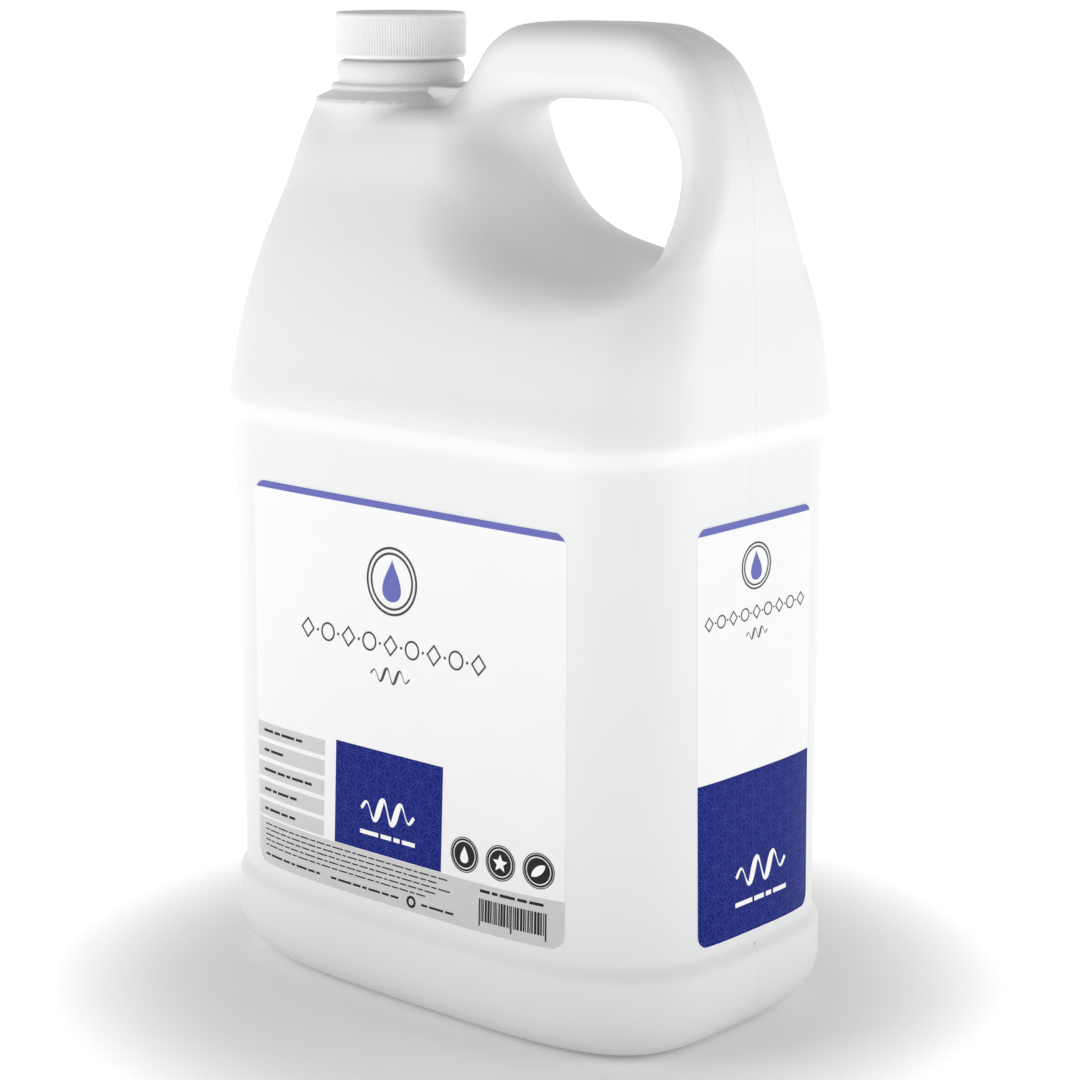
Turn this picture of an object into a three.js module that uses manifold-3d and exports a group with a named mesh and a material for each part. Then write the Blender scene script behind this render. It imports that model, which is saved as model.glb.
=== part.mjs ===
// Handled one-gallon shampoo jug: a blow-moulded bottle with a hollow grip, a ribbed screw cap with
// its foam liner, two self-adhesive labels and the liquid inside.
// Millimetres, +Z up. The origin is the middle of the footprint, on the surface that the jug stands on.
// +X points to the grip end, the neck is towards -X, and the wide label faces -Y.
import * as THREE from 'three';
import { LoftGeometry } from 'three/addons/geometries/LoftGeometry.js';
import { mergeVertices } from 'three/addons/utils/BufferGeometryUtils.js';
import Module from 'manifold-3d';

const wasm = await Module();
wasm.setup();

// ---- driving dimensions -----------------------------------------------------------------------------
const WALL = 1.2;                // blow-moulded wall
const GAP = 0.3;                 // clearance between separate pieces

// The label panel is flat-sided with round corners at its top, and swells to an oval at its foot
const PANEL_TOP = { z: 173.5, halfWidth: 88.2, halfDepth: 51.5, corner: 25.0 };
const PANEL_FOOT = { z: 31.0, halfWidth: 91.5, halfDepth: 57.3, exponent: 3.6 };
const BASE = { z: 27.5, halfWidth: 93.5, halfDepth: 59.2, exponent: 3.5 };
const HEEL_RADIUS = 16.5;        // rounding of the bottom edge
const HEEL_STEPS = 6;
const PUSH_UP = 2.5;             // the hollow under the base
const PUSH_UP_FLARE = 2.5;       // how far its edge slopes
const STANDING_RING = 10.0;      // width of the ring that the jug stands on
const CORNER_STEPS = 6;          // facets in each upright corner
const FLAT_STEPS = 4;            // facets in each side between two corners
const OVAL_CORNER = 36.0;        // spreads the points of an oval outline evenly

const NECK_X = -50.0;            // axis of the neck and the cap
const NECK_BORE = 15.2;
const NECK_ROOT = 17.4;          // neck under the thread
const NECK_CREST = 18.5;         // outside of the thread
const NECK_TOP = 296.0;
const COLLAR = { radius: 26.5, bottom: 256.6, top: 272.9 };
const NECK_ROLL = { radius: 21.7, bottom: 275.2, top: 277.4 };     // the rounded roll above the collar
const NECK_BEAD = { radius: 20.0, bottom: 278.8, top: 282.5 };     // the band under the cap
const BORE_BOTTOM = 261.6;
const ROUND_STEPS = 48;          // facets round the neck and the cap

const THREAD_PITCH = 4.23;       // six turns to the inch
const THREAD_TURNS = 1.4;
const NECK_THREAD_START = 288.6;
const THREAD_HALF = { foot: 1.2, crest: 0.5 };   // half the ridge's width
const THREAD_SINK = 0.4;         // how far a ridge is rooted in its wall
const THREAD_STEPS = 36;         // facets in one turn
const THREAD_FADE = 3;           // facets over which a ridge starts and ends
const THREAD_PLAY = 0.35;        // how far the cap's ridge sits above the middle of the neck's groove

const CAP_TOP = 299.0;
const CAP_BOTTOM = 285.2;
const CAP_RADIUS = 20.45;        // over the ribs
const CAP_RIB_DEPTH = 0.5;
const CAP_RIBS = 120;
const CAP_RIM = 1.2;             // smooth rim under the ribs
const CAP_BAND = 1.8;            // smooth band above the ribs
const CAP_BORE = 18.85;
const CAP_CREST = 17.75;         // inside of the cap's thread
const CAP_ROOF = 1.5;            // thickness of the cap's top

const FILL_LEVEL = 220.0;        // height of the liquid's surface
const LABEL_THICK = 0.25;
const LABEL_GAP = 0.1;
const LABEL_CORNER = 5.0;
const FRONT_LABEL = { left: -64.6, right: 63.2, bottom: 34.4, top: 157.4 };
const SIDE_LABEL = { left: -25.0, right: 29.5, bottom: 33.6, top: 157.8 };

// Outline of the jug over height. Left is the neck end, right is the grip end; depth is half the
// size along Y. The two ends taper differently, so the outline turns into the thin grip at the right.
const SHOULDER = [
  { z: 178.5, left: -90.2, right: 90.5, leftDepth: 53.5, rightDepth: 53.5, leftCorner: 26, rightCorner: 26 },
  { z: 185.0, left: -89.6, right: 90.5, leftDepth: 53.0, rightDepth: 53.2, leftCorner: 26, rightCorner: 26 },
  { z: 194.0, left: -88.8, right: 90.3, leftDepth: 51.4, rightDepth: 50.8, leftCorner: 25, rightCorner: 24 },
  { z: 207.0, left: -87.4, right: 90.0, leftDepth: 48.7, rightDepth: 47.0, leftCorner: 24, rightCorner: 21 },
  { z: 218.5, left: -85.4, right: 89.3, leftDepth: 45.8, rightDepth: 42.4, leftCorner: 23, rightCorner: 18 },
  { z: 229.5, left: -82.9, right: 88.6, leftDepth: 42.5, rightDepth: 36.6, leftCorner: 22, rightCorner: 15 },
  { z: 239.0, left: -80.2, right: 87.8, leftDepth: 38.9, rightDepth: 30.0, leftCorner: 21, rightCorner: 12 },
  { z: 249.0, left: -77.7, right: 87.0, leftDepth: 34.8, rightDepth: 23.2, leftCorner: 20, rightCorner: 10 },
  { z: 259.5, left: -76.2, right: 86.2, leftDepth: 30.7, rightDepth: 18.2, leftCorner: 19, rightCorner: 9 },
  { z: 270.0, left: -74.8, right: 84.4, leftDepth: 25.4, rightDepth: 15.4, leftCorner: 18, rightCorner: 8 },
];

// The grip: points on its inner and outer edge in the XZ plane, and half its thickness along Y.
const GRIP_CORNER = 7.0;
const SOLID_GRIP_STATIONS = 2;   // the pinched end of the grip at the neck isn't hollow
const GRIP = [
  { inner: [73.0, 236.0], outer: [88.2, 235.0], half: 31.0 },
  { inner: [73.0, 247.0], outer: [87.4, 247.0], half: 23.8 },
  { inner: [71.5, 257.0], outer: [86.6, 259.0], half: 18.6 },
  { inner: [68.5, 265.0], outer: [84.0, 271.5], half: 15.8 },
  { inner: [64.0, 271.5], outer: [80.3, 281.5], half: 15.2 },
  { inner: [59.0, 274.8], outer: [73.5, 289.5], half: 14.8 },
  { inner: [53.0, 275.3], outer: [62.5, 295.4], half: 14.8 },
  { inner: [45.0, 275.3], outer: [52.0, 297.5], half: 14.8 },
  { inner: [30.0, 275.3], outer: [30.0, 297.8], half: 14.8 },
  { inner: [12.0, 275.3], outer: [8.5, 296.9], half: 14.8 },
  { inner: [4.0, 273.8], outer: [-2.8, 292.2], half: 14.6 },
  { inner: [-2.5, 269.5], outer: [-10.0, 284.2], half: 14.2 },
  { inner: [-7.0, 262.0], outer: [-18.5, 275.0], half: 13.4 },
];

// The window under the grip and the finger hollows beside it
const WINDOW = [[10, 252], [23, 241.5], [38, 235], [58, 230], [71, 232], [75, 246], [74, 262],
  [60, 275], [7, 275.3], [-1.5, 264.5]];
const HOLLOW = { x: 38, y: 64, z: 251, radii: [54, 56, 41] };
const WEB = { left: -36, right: -4, half: 8.8, bottom: 262, top: 277.4 };

// ---- turning geometry into solids and back ----------------------------------------------------------
function toSolid(geometry) {
  const bare = geometry.index ? new THREE.BufferGeometry().copy(geometry) : mergeVertices(geometry);
  bare.deleteAttribute('normal');
  bare.deleteAttribute('uv');
  const merged = mergeVertices(bare, 1e-4);
  const vertProperties = new Float32Array(merged.attributes.position.array);
  const triVerts = new Uint32Array(merged.index.array);
  return new wasm.Manifold(new wasm.Mesh({ numProp: 3, vertProperties, triVerts }));
}

function toGeometry(solid) {
  const mesh = solid.getMesh();
  const geometry = new THREE.BufferGeometry();
  geometry.setAttribute('position', new THREE.Float32BufferAttribute(mesh.vertProperties, 3));
  geometry.setIndex(Array.from(mesh.triVerts));
  geometry.computeVertexNormals();
  return geometry;
}

function lathe(profile, steps = ROUND_STEPS) {
  const points = profile.map(([radius, z]) => new THREE.Vector2(radius, z));
  const geometry = new THREE.LatheGeometry(points, steps);
  geometry.rotateX(Math.PI / 2);
  geometry.translate(NECK_X, 0, 0);
  return toSolid(geometry);
}

function box(left, right, front, back, bottom, top) {
  const geometry = new THREE.BoxGeometry(right - left, back - front, top - bottom);
  geometry.translate((left + right) / 2, (front + back) / 2, (bottom + top) / 2);
  return toSolid(geometry);
}

function loft(sections) {
  return toSolid(new LoftGeometry(sections, { closed: true, capStart: true, capEnd: true }));
}

// ---- sections ---------------------------------------------------------------------------------------
// Points of one rounded corner, centred at (x, y), starting at the given quarter turn
function corner(x, y, radius, quarter) {
  const points = [];
  for (let step = 0; step <= CORNER_STEPS; step++) {
    const angle = (quarter + step / CORNER_STEPS) * Math.PI / 2;
    points.push([x + radius * Math.cos(angle), y + radius * Math.sin(angle)]);
  }
  return points;
}

// A level section of the jug, pulled in by inset on every side
function bodySection(outline, inset) {
  const rightCorner = Math.max(outline.rightCorner - inset, 1);
  const leftCorner = Math.max(outline.leftCorner - inset, 1);
  const right = outline.right - inset - rightCorner;
  const left = outline.left + inset + leftCorner;
  const rightDepth = outline.rightDepth - inset - rightCorner;
  const leftDepth = outline.leftDepth - inset - leftCorner;
  const corners = [
    corner(right, rightDepth, rightCorner, 0),
    corner(left, leftDepth, leftCorner, 1),
    corner(left, -leftDepth, leftCorner, 2),
    corner(right, -rightDepth, rightCorner, 3),
  ];
  const points = corners.flatMap((arc, i) =>
    [...arc, ...between(arc.at(-1), corners[(i + 1) % corners.length][0])]);
  const shaped = outline.exponent ? points.map((point) => onOval(point, outline, inset)) : points;
  return shaped.map(([x, y]) => new THREE.Vector3(x, y, outline.z));
}

// The points that divide a side into FLAT_STEPS parts, without its ends
function between([x0, y0], [x1, y1]) {
  const points = [];
  for (let step = 1; step < FLAT_STEPS; step++) {
    const share = step / FLAT_STEPS;
    points.push([THREE.MathUtils.lerp(x0, x1, share), THREE.MathUtils.lerp(y0, y1, share)]);
  }
  return points;
}

// Moves a point straight out from the middle onto the outline's superellipse
function onOval([x, y], { right, rightDepth, exponent }, inset) {
  const along = Math.abs(x) / (right - inset);
  const across = Math.abs(y) / (rightDepth - inset);
  const grow = (along ** exponent + across ** exponent) ** (-1 / exponent);
  return [x * grow, y * grow];
}

// An outline with both ends alike
function evenOutline({ z, halfWidth, halfDepth, corner: round = OVAL_CORNER, exponent }) {
  return {
    z, left: -halfWidth, right: halfWidth, leftDepth: halfDepth, rightDepth: halfDepth,
    leftCorner: round, rightCorner: round, exponent,
  };
}

// All outlines of the jug from the heel to the top of the shoulder
function bodyOutlines() {
  const outlines = [];
  for (let step = 0; step <= HEEL_STEPS; step++) {
    const angle = step / HEEL_STEPS * Math.PI / 2;
    const z = HEEL_RADIUS * (1 - Math.cos(angle));
    const pulledIn = HEEL_RADIUS * (1 - Math.sin(angle));
    outlines.push({ ...evenOutline({ ...BASE, z }), inset: pulledIn });
  }
  for (const level of [BASE, PANEL_FOOT, PANEL_TOP]) {
    outlines.push({ ...evenOutline(level), inset: 0 });
  }
  return outlines.concat(SHOULDER.map((outline) => ({ ...outline, inset: 0 })));
}

// The jug's block without the grip, pulled in by inset all round
function bodyBlock(inset) {
  const outlines = bodyOutlines();
  const bottom = inset;
  const top = SHOULDER[SHOULDER.length - 1].z - inset;
  const sections = outlines.map((outline) => {
    const z = THREE.MathUtils.mapLinear(outline.z, 0, top + inset, bottom, top);
    return bodySection({ ...outline, z }, outline.inset + inset);
  });
  return loft(sections);
}

// One section of the grip between its inner and outer edge
function gripSection({ inner, outer, half }, inset) {
  const across = new THREE.Vector2(outer[0] - inner[0], outer[1] - inner[1]);
  const reach = across.length() / 2 - inset;
  across.normalize();
  const middle = [(inner[0] + outer[0]) / 2, (inner[1] + outer[1]) / 2];
  const round = GRIP_CORNER - inset;
  const flatReach = reach - round;
  const flatHalf = half - inset - round;
  const points = [
    ...corner(flatReach, flatHalf, round, 0),
    ...corner(-flatReach, flatHalf, round, 1),
    ...corner(-flatReach, -flatHalf, round, 2),
    ...corner(flatReach, -flatHalf, round, 3),
  ];
  return points.map(([u, y]) =>
    new THREE.Vector3(middle[0] + u * across.x, y, middle[1] + u * across.y));
}

function grip(inset, stations = GRIP) {
  return loft(stations.map((station) => gripSection(station, inset)));
}

// The two finger hollows, front and back
function fingerHollows(grow) {
  const [radiusX, radiusY, radiusZ] = HOLLOW.radii;
  const solids = [-1, 1].map((side) => {
    const geometry = new THREE.SphereGeometry(1, 40, 24);
    geometry.rotateX(Math.PI / 2);
    geometry.scale(radiusX + grow, radiusY + grow, radiusZ + grow);
    geometry.translate(HOLLOW.x, side * HOLLOW.y, HOLLOW.z);
    return toSolid(geometry);
  });
  return solids[0].add(solids[1]);
}

// The window under the grip, right through along Y
function gripWindow(grow) {
  const corners = WINDOW.map(([x, z]) => new THREE.Vector2(x, z));
  const centre = corners.reduce((sum, point) => sum.add(point), new THREE.Vector2());
  centre.divideScalar(corners.length);
  const points = corners.map((point) => {
    const away = point.clone().sub(centre);
    return away.setLength(away.length() + grow).add(centre);
  });
  const depth = 3 * BASE.halfDepth;
  const curve = new THREE.SplineCurve([...points, points[0]]);
  const shape = new THREE.Shape(curve.getPoints(WINDOW.length * 3).slice(0, -1));
  const geometry = new THREE.ExtrudeGeometry(shape, { depth, bevelEnabled: false });
  geometry.rotateX(Math.PI / 2);
  geometry.translate(0, depth / 2, 0);
  return toSolid(geometry);
}

// ---- threads ----------------------------------------------------------------------------------------
// A helical ridge round the neck axis, between the radii of its foot and its crest.
// A right-hand thread climbs anticlockwise seen from above.
function threadRidge(foot, crest, start) {
  const steps = Math.round(THREAD_TURNS * THREAD_STEPS);
  const outward = Math.sign(crest - foot);
  const rooted = foot - outward * THREAD_SINK;
  const sections = [];
  for (let step = 0; step <= steps; step++) {
    const turn = step / steps * THREAD_TURNS;
    const angle = turn * 2 * Math.PI;
    const z = start + turn * THREAD_PITCH;
    const fade = Math.min(1, Math.min(step, steps - step) / THREAD_FADE);
    const radius = THREE.MathUtils.lerp(foot + outward * 0.15, crest, fade);
    const profile = [[rooted, -THREAD_HALF.foot], [radius, -THREAD_HALF.crest],
      [radius, THREAD_HALF.crest], [rooted, THREAD_HALF.foot]];
    const ordered = outward > 0 ? profile.reverse() : profile;
    sections.push(ordered.map(([reach, rise]) => new THREE.Vector3(
      NECK_X + reach * Math.cos(angle), reach * Math.sin(angle), z + rise)));
  }
  return loft(sections);
}

// ---- the jug ----------------------------------------------------------------------------------------
function neckOutside() {
  const roll = NECK_ROLL;
  const bead = NECK_BEAD;
  return lathe([
    [0, COLLAR.bottom], [COLLAR.radius, COLLAR.bottom], [COLLAR.radius, COLLAR.top],
    [roll.radius - 0.4, roll.bottom], [roll.radius, roll.bottom + 0.7], [roll.radius, roll.top - 0.6],
    [roll.radius - 0.7, roll.top],
    [bead.radius - 0.9, bead.bottom - 1], [bead.radius, bead.bottom], [bead.radius, bead.top],
    [bead.radius - 0.9, bead.top + 1.2], [NECK_ROOT, bead.top + 1.7],
    [NECK_ROOT, NECK_TOP - 0.7], [NECK_ROOT - 0.6, NECK_TOP], [0, NECK_TOP],
  ]);
}

function neckInside() {
  const top = NECK_TOP + 5;
  return lathe([[0, BORE_BOTTOM], [NECK_BORE, BORE_BOTTOM], [NECK_BORE, top], [0, top]]);
}

function neckThread() {
  return threadRidge(NECK_ROOT, NECK_CREST, NECK_THREAD_START);
}

// The space inside the jug, for a wall of the given thickness
function cavity(wall) {
  return bodyBlock(wall)
    .subtract(fingerHollows(wall))
    .subtract(gripWindow(wall))
    .add(grip(wall, GRIP.slice(0, -SOLID_GRIP_STATIONS)))
    .subtract(pushUp(wall));
}

// The hollow under the base, or with a wall the bump that it makes inside
function pushUp(wall) {
  const inset = HEEL_RADIUS + STANDING_RING - wall;
  return loft([
    bodySection(evenOutline({ ...BASE, z: -1 }), inset - PUSH_UP_FLARE),
    bodySection(evenOutline({ ...BASE, z: PUSH_UP + wall }), inset + PUSH_UP_FLARE),
  ]);
}

function jugBody() {
  const web = box(WEB.left, WEB.right, -WEB.half, WEB.half, WEB.bottom, WEB.top);
  const outside = bodyBlock(0)
    .subtract(fingerHollows(0))
    .subtract(gripWindow(0))
    .subtract(pushUp(0))
    .add(grip(0))
    .add(web)
    .add(neckOutside())
    .add(neckThread());
  return toGeometry(outside.subtract(cavity(WALL)).subtract(neckInside()));
}

// The liquid, which stands a little clear of the wall
function shampooFill() {
  const below = box(-120, 120, -80, 80, -10, FILL_LEVEL);
  return toGeometry(cavity(WALL + GAP).intersect(below));
}

// ---- the cap ----------------------------------------------------------------------------------------
function capRibs() {
  const points = [];
  for (let rib = 0; rib < CAP_RIBS; rib++) {
    for (const [share, radius] of [[0, CAP_RADIUS], [0.5, CAP_RADIUS - CAP_RIB_DEPTH]]) {
      const angle = (rib + share) / CAP_RIBS * 2 * Math.PI;
      points.push(new THREE.Vector2(NECK_X + radius * Math.cos(angle), radius * Math.sin(angle)));
    }
  }
  const depth = CAP_TOP - CAP_BOTTOM - CAP_RIM - CAP_BAND;
  const geometry = new THREE.ExtrudeGeometry(new THREE.Shape(points), { depth, bevelEnabled: false });
  geometry.translate(0, 0, CAP_BOTTOM + CAP_RIM);
  return toSolid(geometry);
}

function screwCap() {
  const smooth = CAP_RADIUS - CAP_RIB_DEPTH;
  const ceiling = CAP_TOP - CAP_ROOF;
  const shell = lathe([
    [0, CAP_BOTTOM], [smooth, CAP_BOTTOM], [smooth + 0.2, CAP_BOTTOM + CAP_RIM / 2],
    [smooth - 0.1, CAP_BOTTOM + CAP_RIM - 0.1], [smooth - 0.1, CAP_TOP - 1.4],
    [smooth - 0.5, CAP_TOP - 0.5], [smooth - 1.4, CAP_TOP], [0, CAP_TOP],
  ]);
  const hollow = lathe([
    [0, CAP_BOTTOM - 5], [CAP_BORE, CAP_BOTTOM - 5], [CAP_BORE, ceiling], [0, ceiling],
  ]);
  const ridge = threadRidge(CAP_BORE, CAP_CREST, NECK_THREAD_START - THREAD_PITCH / 2 + THREAD_PLAY);
  return toGeometry(shell.add(capRibs()).subtract(hollow).add(ridge));
}

function capLiner() {
  const bottom = NECK_TOP + GAP;
  const top = CAP_TOP - CAP_ROOF - GAP;
  const radius = CAP_BORE - GAP;
  return toGeometry(lathe([[0, bottom], [radius, bottom], [radius, top], [0, top]]));
}

// ---- the labels -------------------------------------------------------------------------------------
// A label's outline as a thick plate in the XZ plane, from y = 0 towards -Y
function labelPlate({ left, right, bottom, top }, depth) {
  const round = LABEL_CORNER;
  const shape = new THREE.Shape();
  shape.moveTo(left + round, bottom);
  shape.lineTo(right - round, bottom);
  shape.absarc(right - round, bottom + round, round, -Math.PI / 2, 0);
  shape.absarc(right - round, top - round, round, 0, Math.PI / 2);
  shape.absarc(left + round, top - round, round, Math.PI / 2, Math.PI);
  shape.absarc(left + round, bottom + round, round, Math.PI, 1.5 * Math.PI);
  const geometry = new THREE.ExtrudeGeometry(shape, { depth, bevelEnabled: false, curveSegments: 6 });
  geometry.rotateX(Math.PI / 2);
  return geometry;
}

// A sheet of label film that follows the panel, cut to the plate's outline
function labelSheet(plate) {
  const film = bodyBlock(-LABEL_GAP - LABEL_THICK).subtract(bodyBlock(-LABEL_GAP));
  return toGeometry(film.intersect(toSolid(plate)));
}

function frontLabel() {
  return labelSheet(labelPlate(FRONT_LABEL, 2 * BASE.halfDepth));
}

function sideLabel() {
  return labelSheet(labelPlate(SIDE_LABEL, 2 * BASE.halfWidth).rotateZ(Math.PI / 2));
}

// ---- the assembly -----------------------------------------------------------------------------------
function piece(name, geometry, color, roughness) {
  const material = new THREE.MeshStandardMaterial({ color, roughness, metalness: 0 });
  const mesh = new THREE.Mesh(geometry, material);
  mesh.name = name;
  return mesh;
}

const jug = new THREE.Group();
jug.add(
  piece('jug_body', jugBody(), 0xededec, 0.45),
  piece('screw_cap', screwCap(), 0xf1f1f0, 0.4),
  piece('cap_liner', capLiner(), 0xe9e8e2, 0.8),
  piece('front_label', frontLabel(), 0xf6f6f6, 0.4),
  piece('side_label', sideLabel(), 0xf6f6f6, 0.4),
  piece('shampoo_fill', shampooFill(), 0xe8ddb5, 0.2),
);

export default jug;
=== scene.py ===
import math

import bpy
import numpy as np
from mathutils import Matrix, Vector


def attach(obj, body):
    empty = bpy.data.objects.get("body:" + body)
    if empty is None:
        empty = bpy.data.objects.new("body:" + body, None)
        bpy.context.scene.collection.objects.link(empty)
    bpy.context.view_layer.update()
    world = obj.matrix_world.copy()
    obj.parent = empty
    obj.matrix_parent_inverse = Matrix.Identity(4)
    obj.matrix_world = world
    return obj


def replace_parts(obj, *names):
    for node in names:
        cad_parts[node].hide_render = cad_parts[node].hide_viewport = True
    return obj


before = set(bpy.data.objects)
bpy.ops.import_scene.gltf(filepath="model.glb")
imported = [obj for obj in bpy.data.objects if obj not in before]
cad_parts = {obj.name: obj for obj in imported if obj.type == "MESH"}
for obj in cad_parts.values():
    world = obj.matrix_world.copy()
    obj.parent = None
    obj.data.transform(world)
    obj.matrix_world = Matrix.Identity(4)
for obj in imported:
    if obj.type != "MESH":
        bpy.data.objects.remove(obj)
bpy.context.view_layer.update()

# ---- sizes, in millimetres ---------------------------------------------------------------------------
NECK_X = -50.0                   # axis of neck and cap
BASE = dict(half_width=93.5, half_depth=59.2)
PANEL_FOOT = dict(z=31.0, half_width=91.5, half_depth=57.3)
PANEL_TOP = dict(z=173.5, half_width=88.2, half_depth=51.5)
PANEL_CORNER = 25.0
OVAL = 3.55                      # exponent of the superellipse at the panel's foot
HEEL = 16.5                      # radius round the bottom edge
FLOOR_RISE = 2.5                 # height of the hollow under the base
LEDGE = (174.6, 181.2)           # where the panel swells into the shoulder
LEDGE_RISE = 2.0                 # how much higher that is at the end under the grip
SHOULDER_TOP = 271.2
# z, left end, right end, half depth at the left and right, corner radius at the left and right
SHOULDER = np.array([
    (174.0, 90.3, 90.3, 53.6, 53.6, 26, 26),
    (183.5, 89.4, 90.4, 53.0, 53.2, 26, 26),
    (194.0, 88.4, 90.2, 51.0, 50.4, 25, 24),
    (207.0, 86.9, 89.8, 48.2, 46.4, 24, 21),
    (218.5, 84.7, 89.1, 45.2, 41.5, 23, 19),
    (229.5, 82.2, 88.3, 41.8, 35.3, 22, 17),
    (239.0, 79.6, 86.8, 38.2, 28.9, 21, 14),
    (249.0, 77.2, 84.8, 34.2, 22.4, 20, 11),
    (259.5, 76.0, 82.5, 30.4, 18.2, 20, 9),
    (272.0, 74.5, 80.0, 24.4, 15.0, 20, 8),
])
# x, z: over the grip from the shoulder to the web, and back along its inner edge
GRIP_OUTLINE = [
    (85.5, 209), (86.8, 220), (88.2, 231), (88.5, 243), (87.2, 258), (84.0, 271.5), (79.8, 281.5),
    (73.2, 289.5), (62.5, 295.4), (52, 297.5), (30, 297.8), (8.5, 296.9), (-2.8, 292.2), (-10.0, 284.2),
    (-18.0, 274.0), (-15, 267.5), (-8, 263), (-2.5, 269.5), (4, 273.8), (12, 275.3), (30, 275.5),
    (45, 275.5), (53, 275.3), (59, 274.0), (64, 270.5), (68.5, 265), (71.5, 257), (73, 247), (73, 236),
    (75, 226), (78, 212),
]
# z, half depth of the grip where it comes down to the shoulder
GRIP_DEPTH = np.array([
    (209, 17), (219, 24), (229, 29), (235, 27), (247, 21.5), (258, 17.6), (269, 15.8), (276, 15.2),
    (283, 14.8),
])
GRIP_EDGE = 8.5                  # radius along the grip's edges
# x, z: round the window under the grip
WINDOW = [
    (10, 252), (23, 241.5), (38, 235), (58, 230), (71, 232), (75, 246), (74, 262), (60, 275),
    (7, 275.3), (-1.5, 264.5),
]
WINDOW_BLEND = 12.0
HOLLOW = dict(centre=(40.0, 62.0, 256.0), radii=(55.0, 56.0, 35.0), blend=9.0)
WEB = dict(x=-20.0, half_width=16.0, half_depth=8.8, bottom=258.0, top=277.4)
COLLAR = dict(radius=26.5, bottom=245.0, top=272.9)
WALL = 1.2
FILL_LEVEL = 220.0
FILL_GAP = 0.6                   # between wall and shampoo, so that the two don't share a surface
PLUG = dict(radius=19.9, bottom=262.0, top=280.0)      # what is cut out under the neck

# Grid planes for the nets: position and spacing up to the next, along x, y and z
SKIN_GRID = [
    [(-97.0, 2.0), (97.0, 0)],
    [(-63.0, 2.0), (63.0, 0)],
    [(-2.0, 1.7), (36.0, 2.1), (171.0, 1.4), (185.0, 1.9), (259.0, 1.5), (301.0, 0)],
]
CAVITY_GRID = [[(-96.0, 4.0), (96.0, 0)], [(-62.0, 4.0), (62.0, 0)], [(-1.0, 4.0), (299.0, 0)]]
FILL_GRID = [[(-96.0, 5.0), (96.0, 0)], [(-62.0, 5.0), (62.0, 0)], [(-1.0, 5.0), (229.0, 0)]]

# across and height over the skin, from one foot of the mould's ridge to the other
SEAM_PROFILE = ((-0.5, -0.3), (-0.3, 0.03), (-0.1, 0.09), (0.1, 0.09), (0.3, 0.03), (0.5, -0.3))

# foot and crest are half widths; play is how high the cap's thread sits in the gap
THREAD = dict(pitch=4.23, turns=1.4, start=288.6, foot=1.2, crest=0.5, play=0.35)
# radius, z: from the collar up, over the lip and down the bore
NECK_PROFILE = [
    (25.8, 272.6), (26.3, 272.9), (25.8, 273.3), (21.5, 275.2), (21.2, 275.3), (21.5, 275.5), (21.75, 275.9),
    (21.75, 276.5), (21.5, 277.0), (21.0, 277.3), (20.0, 277.4), (19.5, 277.6), (19.4, 278.0), (19.7, 278.5),
    (19.95, 279.3), (20.05, 280.5), (20.0, 281.7), (19.8, 282.7), (19.3, 283.5), (18.6, 284.1), (17.9, 284.4),
    (17.4, 284.6), (17.4, 295.3), (17.2, 295.8), (16.8, 296.0), (15.7, 296.0), (15.3, 295.8), (15.2, 295.4),
    (15.2, 268.5), (15.6, 268.0), (19.4, 268.0), (19.8, 268.3), (19.8, 272.3),
]
CAP = dict(top=299.0, bottom=285.2, ceiling=297.5, radius=20.45, bore=18.85, crest=17.75,
           ribs=144, rib_depth=0.42)
LINER = dict(bottom=296.35, top=297.3, radius=18.5)

FRONT = dict(left=-64.6, right=63.2, bottom=34.4, top=157.4, corner=5.0)
SIDE = dict(left=-25.0, right=29.5, bottom=33.6, top=157.8, corner=4.0)
SHEET = (-0.3, 0.1)              # underside and top of a label, from the skin
INK = 0.04                       # thickness of one layer of print

# ---- sizes, in metres --------------------------------------------------------------------------------
LATTICE_TILE = 0.0088
PAINTED_SHADOW_REACH = (0.09, 0.21)              # distances from the jug over which the floor's emission rises: painted contact shadow near the jug, painted light beyond, where the floor turns white
CAMERA = dict(place=(0.58034, -0.65338, 0.326), tilt=79.174, turn=41.237, lens=96.27, shift=-0.06)
LAMP_TARGET = (0.0, 0.0, 0.28)
LAMP_SIZE = 0.45


# ---- curves and distances ----------------------------------------------------------------------------
def ramp(x, low, high):
    """Smooth step from 0 at low to 1 at high."""
    t = np.clip((x - low) / (high - low), 0, 1)
    return t * t * (3 - 2 * t)


def soft_min(a, b, k):
    """The smaller of a and b, blended where they are within k of each other."""
    near = np.maximum(k - np.abs(a - b), 0) / k
    return np.minimum(a, b) - near * near * k / 4


def soft_max(a, b, k):
    """The larger of a and b, blended where they are within k of each other."""
    return -soft_min(-a, -b, k)


def rounded(a, b, radius):
    """Distance to the inside of both a and b, with the edge between them rounded."""
    out = np.hypot(np.maximum(a + radius, 0), np.maximum(b + radius, 0))
    return out + np.minimum(np.maximum(a, b) + radius, 0) - radius


def smooth_table(z, knots, values):
    """Monotone cubic through the knots, level past both ends."""
    step = np.diff(knots)
    slope = np.diff(values) / step
    tangent = np.zeros(len(knots))
    same = slope[:-1] * slope[1:] > 0
    both = slope[:-1] + slope[1:]
    tangent[1:-1] = np.where(same, 2 * slope[:-1] * slope[1:] / np.where(same, both, 1), 0)
    tangent[0], tangent[-1] = slope[0], slope[-1]
    z = np.clip(z, knots[0], knots[-1])
    i = np.clip(np.searchsorted(knots, z, side="right") - 1, 0, len(step) - 1)
    t = (z - knots[i]) / step[i]
    return ((2 * t**3 - 3 * t**2 + 1) * values[i] + (t**3 - 2 * t**2 + t) * step[i] * tangent[i]
            + (3 * t**2 - 2 * t**3) * values[i + 1] + (t**3 - t**2) * step[i] * tangent[i + 1])


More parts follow.
